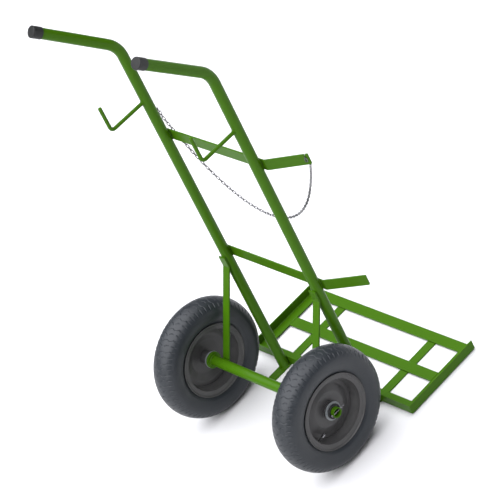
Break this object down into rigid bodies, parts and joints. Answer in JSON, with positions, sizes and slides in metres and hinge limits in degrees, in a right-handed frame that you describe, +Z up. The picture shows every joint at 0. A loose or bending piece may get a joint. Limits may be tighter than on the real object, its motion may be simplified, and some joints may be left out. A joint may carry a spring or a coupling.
{
  "type": "gas cylinder cart",
  "caption": "Two-wheeled cart for a pair of gas cylinders, with a floor tray, swept cross bars, safety chain, hose hooks and angled handles.",
  "frame": {"origin": "on the floor, midway along the cart's width and depth", "axes": "+X to the operator's right, +Y forward to the cylinder side, +Z up"},
  "size_m": [0.731, 0.7145, 1.5612],
  "materials": {
    "green_paint": "semi-gloss green powder coat on welded steel",
    "black_plastic": "soft black plastic cap",
    "zinc_steel": "bright zinc plate",
    "tyre_rubber": "dark grey tyre rubber with a moulded tread",
    "soft_rubber": "smooth black rubber",
    "rim_paint": "gloss dark grey enamel on pressed steel",
    "bush_plastic": "natural nylon"
  },
  "bodies": {
    "frame": {"axle_collar_left": "green_paint", "axle_collar_right": "green_paint", "axle_sleeve_left": "black_plastic", "axle_sleeve_right": "black_plastic", "axle_tube": "green_paint", "chain_end_links": "zinc_steel", "foot_bar_left": "green_paint", "foot_bar_right": "green_paint", "handle_cap_left": "black_plastic", "handle_cap_right": "black_plastic", "hose_hook_left": "green_paint", "hose_hook_right": "green_paint", "hub_pin_left": "zinc_steel", "hub_pin_right": "zinc_steel", "inner_washer_left": "bush_plastic", "inner_washer_right": "bush_plastic", "lower_cross_bar": "green_paint", "outer_washer_left": "bush_plastic", "outer_washer_right": "bush_plastic", "side_tube_left": "green_paint", "side_tube_right": "green_paint", "strut_left": "green_paint", "strut_right": "green_paint", "tray_front_bar": "green_paint", "tray_middle_bar": "green_paint", "tray_rear_angle": "green_paint", "tray_side_angle_left": "green_paint", "tray_side_angle_right": "green_paint", "upper_cross_bar": "green_paint"},
    "wheel_left": {"tyre_left": "tyre_rubber", "inner_tube_left": "soft_rubber", "rim_left": "rim_paint", "wheel_disc_left": "rim_paint", "hub_left": "rim_paint", "inner_bush_left": "bush_plastic", "outer_bush_left": "bush_plastic", "valve_stem_left": "soft_rubber", "valve_cap_left": "zinc_steel"},
    "wheel_right": {"tyre_right": "tyre_rubber", "inner_tube_right": "soft_rubber", "rim_right": "rim_paint", "wheel_disc_right": "rim_paint", "hub_right": "rim_paint", "inner_bush_right": "bush_plastic", "outer_bush_right": "bush_plastic", "valve_stem_right": "soft_rubber", "valve_cap_right": "zinc_steel"},
    "chain": {"chain": "zinc_steel"}
  },
  "joints": [
    {"name": "wheel_left_spin", "type": "hinge", "parent": "frame", "child": "wheel_left", "pos_m": [-0.281, -0.15725, 0.2], "axis": [1, 0, 0], "continuous": true},
    {"name": "wheel_right_spin", "type": "hinge", "parent": "frame", "child": "wheel_right", "pos_m": [0.281, -0.15725, 0.2], "axis": [1, 0, 0], "continuous": true},
    {"name": "chain_swing", "type": "hinge", "parent": "frame", "child": "chain", "pos_m": [0, 0.12645, 0.95551], "axis": [1, 0, 0], "range_deg": [-15, 65]}
  ]
}
